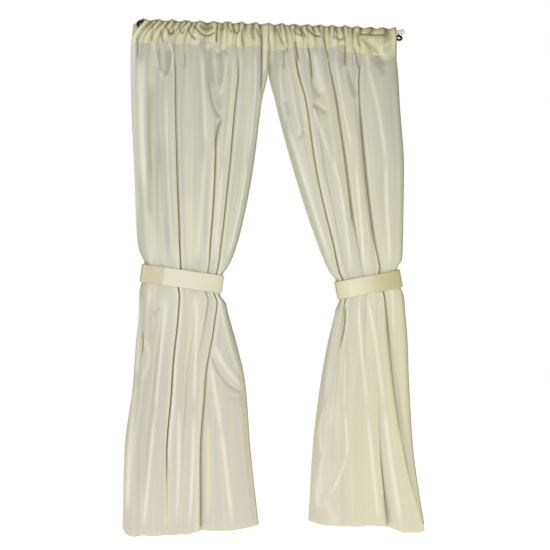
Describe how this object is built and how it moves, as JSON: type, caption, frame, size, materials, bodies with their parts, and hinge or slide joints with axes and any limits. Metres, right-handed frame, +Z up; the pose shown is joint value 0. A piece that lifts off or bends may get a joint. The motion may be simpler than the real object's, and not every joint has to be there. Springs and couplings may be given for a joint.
{
  "type": "curtain pair and rod",
  "caption": "Gathered window curtains on a shared thin rod, each swept to its own side and held by a flat cloth tie band, with a ring eye at each end of the rod.",
  "frame": {"origin": "middle of the rod's axis, at the line where the two curtains meet", "axes": "+X along the rod to the viewer's right, +Y to the wall, +Z up"},
  "size_m": [1.2893, 0.0806, 2.1327],
  "materials": {
    "cloth": "thin glossy cream cloth, slightly sheer, with crisp fold edges",
    "band_cloth": "the same cream cloth, doubled and flat",
    "rod_paint": "pale ivory paint, satin",
    "dark_metal": "dark brown-black, satin"
  },
  "bodies": {
    "root": {"curtain_left": "cloth", "curtain_right": "cloth", "tie_left": "band_cloth", "tie_right": "band_cloth", "rod": "rod_paint", "eye_left": "dark_metal", "eye_right": "dark_metal", "knob_right": "rod_paint"}
  },
  "joints": []
}
